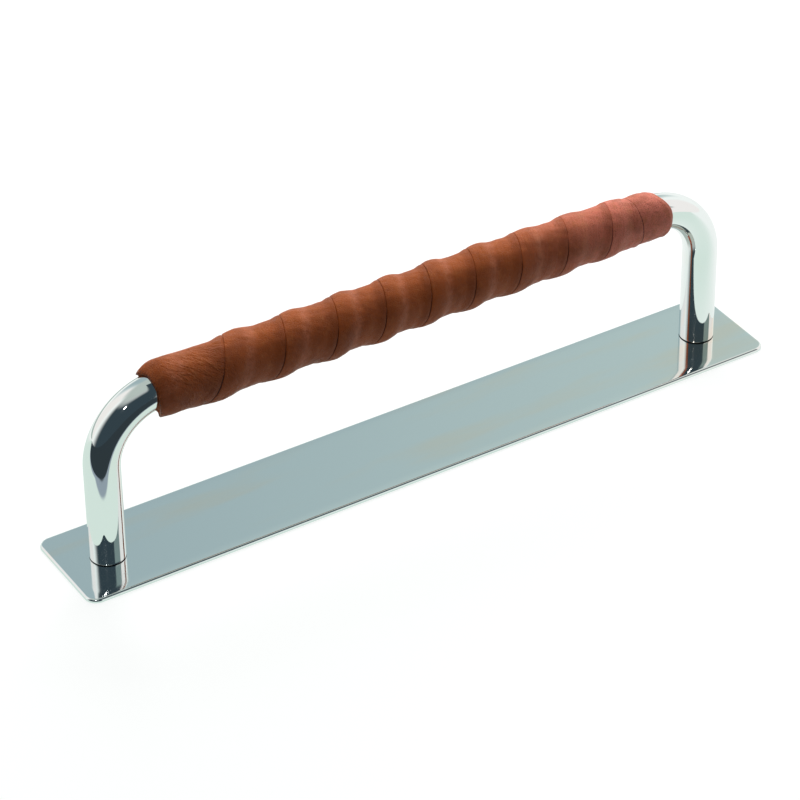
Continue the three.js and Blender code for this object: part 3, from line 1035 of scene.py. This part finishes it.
class Directions:
    """Shares of the world by direction, from the nodes of its shader."""

    def __init__(self, tree):
        self.tree = tree
        self.direction = tree.nodes.new("ShaderNodeTexCoord").outputs["Generated"]
        flat = tree.nodes.new("ShaderNodeVectorMath")
        flat.operation = "MULTIPLY"
        flat.inputs[1].default_value = (1, 1, 0)
        tree.links.new(self.direction, flat.inputs[0])
        unit = tree.nodes.new("ShaderNodeVectorMath")
        unit.operation = "NORMALIZE"
        tree.links.new(flat.outputs[0], unit.inputs[0])
        self.level = unit.outputs[0]

    def azimuth(self, degrees, none, full):
        """Share by azimuth: none and full are cosines of the angle away from the given one."""
        axis = (np.cos(np.radians(degrees)), np.sin(np.radians(degrees)), 0)
        reach = dot(self.tree, self.level, axis)
        return smooth_share(self.tree, reach, none, full)

    def elevation(self, none, full):
        """Share by elevation in degrees."""
        height = dot(self.tree, self.direction, (0, 0, 1))
        none, full = np.sin(np.radians(none)), np.sin(np.radians(full))
        return smooth_share(self.tree, height, none, full)


def make_world():
    """The room, region over region: walls, back, ceiling, the strip at the side, the dark front."""
    world = bpy.data.worlds.new("studio")
    bpy.context.scene.world = world
    world.use_nodes = True
    tree = world.node_tree
    where = Directions(tree)
    colour = colour_mix(tree, where.azimuth(335, 0.77, 0.90), WALL_WHITE, WALL_WARM)
    colour = colour_mix(tree, where.azimuth(126, 0.90, 0.975), colour, WALL_WARM)
    grey = colour_mix(tree, where.azimuth(-31.4, -0.13, 0.15), BACK_GREY, BACK_PALE)
    back = times(tree, where.azimuth(68, 0.70, 0.94), where.elevation(8, 25))
    colour = colour_mix(tree, back, colour, grey)
    colour = colour_mix(tree, where.elevation(50, 70), colour, CEILING)
    side = times(
        tree, where.azimuth(304, 0.914, 0.951), where.elevation(72, 60), where.elevation(18, 27))
    colour = colour_mix(tree, side, colour, SIDE_GREY)
    front = times(
        tree, where.azimuth(260, -0.34, 0.26), where.azimuth(207, 0.15, 0.24),
        where.elevation(72, 46))
    colour = colour_mix(tree, front, colour, DARK_ROOM)
    high = times(tree, where.azimuth(302, 0.83, 0.90), where.elevation(39, 43))
    colour = colour_mix(tree, high, colour, DARK_ROOM)
    light_path = tree.nodes.new("ShaderNodeLightPath")
    colour = colour_mix(tree, light_path.outputs["Is Glossy Ray"], SOFT_FILL, colour)
    colour = colour_mix(tree, light_path.outputs["Is Camera Ray"], colour, (1, 1, 1))
    tree.links.new(colour, tree.nodes["Background"].inputs["Color"])
    print(world.name, len(tree.nodes), "nodes")


make_world()

# %% [markdown]
# ## Lamps
# One wide soft lamp overhead gives the leather its bright crest and the floor its faint shadow. A
# second one, low behind the right end, rims the winding and makes the far turns paler. Both are
# kept out of the reflections, because the room already fills them. A small lamp to the left of
# the camera does show: it is the bright fleck on the left bend.

# %% Lamps
def aim(thing, target):
    """Turns a lamp so that its -Z axis looks at the target."""
    thing.rotation_euler = (Vector(target) - thing.location).to_track_quat("-Z", "Y").to_euler()


def soft_lamp(name, place, size, power, target=(0, 0, 0.05)):
    """A rectangular lamp that looks at the pull. Place and size are in metres, power in watts."""
    data = bpy.data.lights.new(name, "AREA")
    data.shape = "RECTANGLE"
    data.size, data.size_y = size
    data.energy = power
    lamp = bpy.data.objects.new(name, data)
    lamp.location = place
    aim(lamp, target)
    bpy.context.collection.objects.link(lamp)
    print(name, "at", place, "with", power, "W")
    return lamp


overhead = soft_lamp("overhead_lamp", (0.10, 0.20, 1.0), (0.9, 0.7), 3.8)
overhead.visible_glossy = False
back_lamp = soft_lamp("back_lamp", (0.30, 0.45, 0.40), (0.5, 0.35), 5.2)
back_lamp.visible_glossy = False
front_fleck = soft_lamp("front_fleck", (-0.55, -0.55, 0.72), (0.06, 0.06), 0.35)
front_fleck.data.shape = "DISK"

# %% [markdown]
# ## Camera
# A photograph of a small product is taken from a little way off with a long lens, so that straight
# things stay nearly parallel. The place and the turn below put the pull in the frame as its
# photographer did. The turn is built from three directions, because three angles in Blender's
# order would hide what each one does.

# %% Camera
CAMERA_TURN = [31.538, 35.597, -0.647]  # yaw, pitch and roll in degrees
CAMERA_PLACE = (-432.684, -697.995, 601.480)  # mm from the middle of the plate's front face
FOCAL_PIXELS = 3672.84
PICTURE_WIDTH = 800
SENSOR_WIDTH = 36


def make_camera():
    """A long lens at the photograph's viewing angle. The yaw turns from +Y towards +X, the pitch
    looks down, and the roll is the camera's small lean."""
    yaw, pitch, roll = np.radians(CAMERA_TURN)
    forward = Vector((np.sin(yaw) * np.cos(pitch), np.cos(yaw) * np.cos(pitch), -np.sin(pitch)))
    level = Vector((np.cos(yaw), -np.sin(yaw), 0))
    upright = level.cross(forward)
    right = np.cos(roll) * level + np.sin(roll) * upright
    up = -np.sin(roll) * level + np.cos(roll) * upright
    place = Vector(CAMERA_PLACE) * MM + Vector((0, 0, plate_top))
    turn = Matrix((right, up, -forward)).transposed().to_4x4()
    data = bpy.data.cameras.new("camera")
    data.sensor_fit = "HORIZONTAL"
    data.sensor_width = SENSOR_WIDTH
    data.lens = FOCAL_PIXELS / PICTURE_WIDTH * SENSOR_WIDTH
    data.clip_end = 20
    camera = bpy.data.objects.new("camera", data)
    camera.matrix_world = Matrix.Translation(place) @ turn
    bpy.context.collection.objects.link(camera)
    bpy.context.scene.camera = camera
    print("camera", round(place.length, 3), "m away, lens", round(data.lens, 1), "mm")


make_camera()
bpy.context.scene.view_settings.view_transform = "Standard"
